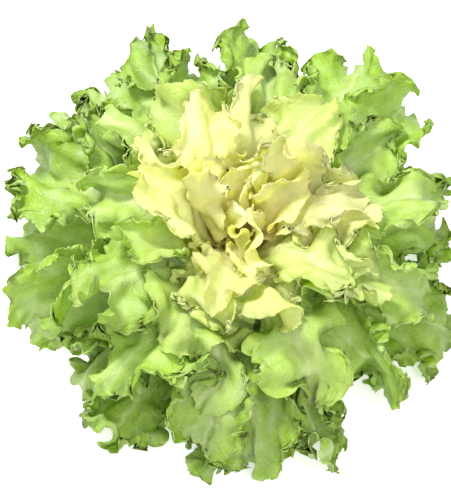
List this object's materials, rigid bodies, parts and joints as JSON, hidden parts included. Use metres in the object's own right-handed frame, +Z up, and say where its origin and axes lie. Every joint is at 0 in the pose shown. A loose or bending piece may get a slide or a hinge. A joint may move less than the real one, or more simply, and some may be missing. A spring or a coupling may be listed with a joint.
{
  "type": "escarole head",
  "caption": "Open head of escarole: a short cut stem core with toothed, ruffled leaves round it, green outside and pale yellow at the heart.",
  "frame": {"origin": "centre of the flat cut face under the stem", "axes": "+Z up along the stem from the cut face towards the heart, -Y towards the viewer, +X to the viewer's right"},
  "size_m": [0.3545, 0.3459, 0.1537],
  "materials": {
    "stem": "moist, matt",
    "heart_leaf": "waxy satin, translucent, veined",
    "inner_leaf": "waxy satin, translucent, veined",
    "middle_leaf": "waxy satin, translucent, veined",
    "outer_leaf": "waxy satin, translucent, veined"
  },
  "bodies": {
    "root": {"stem_core": "stem", "heart_leaf_01": "heart_leaf", "heart_leaf_02": "heart_leaf", "heart_leaf_03": "heart_leaf", "heart_leaf_04": "heart_leaf", "heart_leaf_05": "heart_leaf", "heart_leaf_06": "heart_leaf", "heart_leaf_07": "heart_leaf", "heart_leaf_08": "heart_leaf", "heart_leaf_09": "heart_leaf", "heart_leaf_10": "heart_leaf", "heart_leaf_11": "heart_leaf", "heart_leaf_12": "heart_leaf", "inner_leaf_01": "inner_leaf", "inner_leaf_02": "inner_leaf", "inner_leaf_03": "inner_leaf", "inner_leaf_04": "inner_leaf", "inner_leaf_05": "inner_leaf", "inner_leaf_06": "inner_leaf", "inner_leaf_07": "inner_leaf", "inner_leaf_08": "inner_leaf", "inner_leaf_09": "inner_leaf", "inner_leaf_10": "inner_leaf", "inner_leaf_11": "inner_leaf", "inner_leaf_12": "inner_leaf", "middle_leaf_01": "middle_leaf", "middle_leaf_02": "middle_leaf", "middle_leaf_03": "middle_leaf", "middle_leaf_04": "middle_leaf", "middle_leaf_05": "middle_leaf", "middle_leaf_06": "middle_leaf", "middle_leaf_07": "middle_leaf", "middle_leaf_08": "middle_leaf", "middle_leaf_09": "middle_leaf", "middle_leaf_10": "middle_leaf", "middle_leaf_11": "middle_leaf", "middle_leaf_12": "middle_leaf", "middle_leaf_13": "middle_leaf", "middle_leaf_14": "middle_leaf", "outer_leaf_01": "outer_leaf", "outer_leaf_02": "outer_leaf", "outer_leaf_03": "outer_leaf", "outer_leaf_04": "outer_leaf", "outer_leaf_05": "outer_leaf", "outer_leaf_06": "outer_leaf", "outer_leaf_07": "outer_leaf", "outer_leaf_08": "outer_leaf", "outer_leaf_09": "outer_leaf", "outer_leaf_10": "outer_leaf", "outer_leaf_11": "outer_leaf", "outer_leaf_12": "outer_leaf", "outer_leaf_13": "outer_leaf", "outer_leaf_14": "outer_leaf", "outer_leaf_15": "outer_leaf", "outer_leaf_16": "outer_leaf", "outer_leaf_17": "outer_leaf", "outer_leaf_18": "outer_leaf", "outer_leaf_19": "outer_leaf", "outer_leaf_20": "outer_leaf"}
  },
  "joints": []
}
